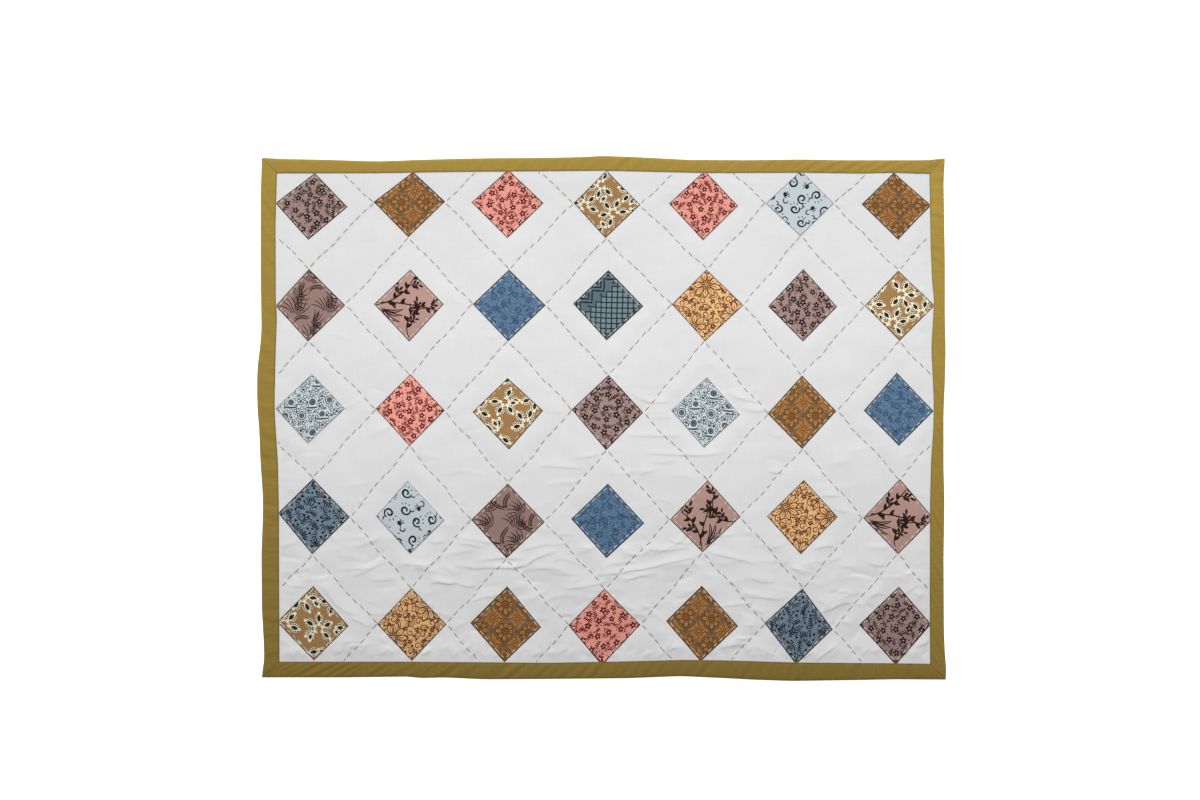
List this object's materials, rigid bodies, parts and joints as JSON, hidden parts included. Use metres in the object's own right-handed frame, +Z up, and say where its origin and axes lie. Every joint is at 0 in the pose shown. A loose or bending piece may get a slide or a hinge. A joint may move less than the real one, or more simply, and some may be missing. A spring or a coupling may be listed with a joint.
{
  "type": "quilt",
  "caption": "Thin hand-quilted cot quilt lying flat: white cotton with printed squares set on point, running-stitch lattice and a folded mustard binding.",
  "frame": {"origin": "middle of the outline's box, on the surface that the quilt lies on", "axes": "+Z up out of the printed side, +X along the long side to the right, +Y towards the top edge of the layout"},
  "size_m": [1.3087, 0.9975, 0.0094],
  "materials": {
    "ground_cotton": "matt white plain-weave cotton, hand quilted",
    "binding_cotton": "matt mustard cotton, folded",
    "mauve_ditsy": "mauve cotton with small dark flowers and sprigs",
    "rust_medallion": "rust cotton with a tone-on-tone medallion print",
    "coral_ditsy": "coral cotton with small dark flowers and sprigs",
    "tan_petal": "tan cotton with cream-edged petals",
    "pale_swirl": "pale blue cotton with sparse dark scrolls",
    "mauve_foliage": "mauve cotton with sketched dark foliage",
    "pink_vine": "dusty pink cotton with dark vines",
    "denim_tone": "blue cotton with tone-on-tone rings and dashes",
    "teal_grid": "grey-teal cotton with a dark woven-look grid",
    "apricot_floral": "apricot cotton with line-drawn daisies",
    "pale_floral": "pale blue cotton with grey-blue discs and rings",
    "slate_ditsy": "slate blue cotton with dark leafy sprigs"
  },
  "bodies": {
    "root": {"quilt_body": "ground_cotton", "binding_top": "binding_cotton", "binding_bottom": "binding_cotton", "binding_left": "binding_cotton", "binding_right": "binding_cotton", "patch_r1_c1": "mauve_ditsy", "patch_r1_c2": "rust_medallion", "patch_r1_c3": "coral_ditsy", "patch_r1_c4": "tan_petal", "patch_r1_c5": "coral_ditsy", "patch_r1_c6": "pale_swirl", "patch_r1_c7": "rust_medallion", "patch_r2_c1": "mauve_foliage", "patch_r2_c2": "pink_vine", "patch_r2_c3": "denim_tone", "patch_r2_c4": "teal_grid", "patch_r2_c5": "apricot_floral", "patch_r2_c6": "mauve_ditsy", "patch_r2_c7": "tan_petal", "patch_r3_c1": "pale_floral", "patch_r3_c2": "coral_ditsy", "patch_r3_c3": "tan_petal", "patch_r3_c4": "mauve_ditsy", "patch_r3_c5": "pale_floral", "patch_r3_c6": "rust_medallion", "patch_r3_c7": "denim_tone", "patch_r4_c1": "slate_ditsy", "patch_r4_c2": "pale_swirl", "patch_r4_c3": "mauve_foliage", "patch_r4_c4": "denim_tone", "patch_r4_c5": "pink_vine", "patch_r4_c6": "apricot_floral", "patch_r4_c7": "pink_vine", "patch_r5_c1": "tan_petal", "patch_r5_c2": "apricot_floral", "patch_r5_c3": "rust_medallion", "patch_r5_c4": "coral_ditsy", "patch_r5_c5": "rust_medallion", "patch_r5_c6": "slate_ditsy", "patch_r5_c7": "mauve_ditsy"}
  },
  "joints": []
}
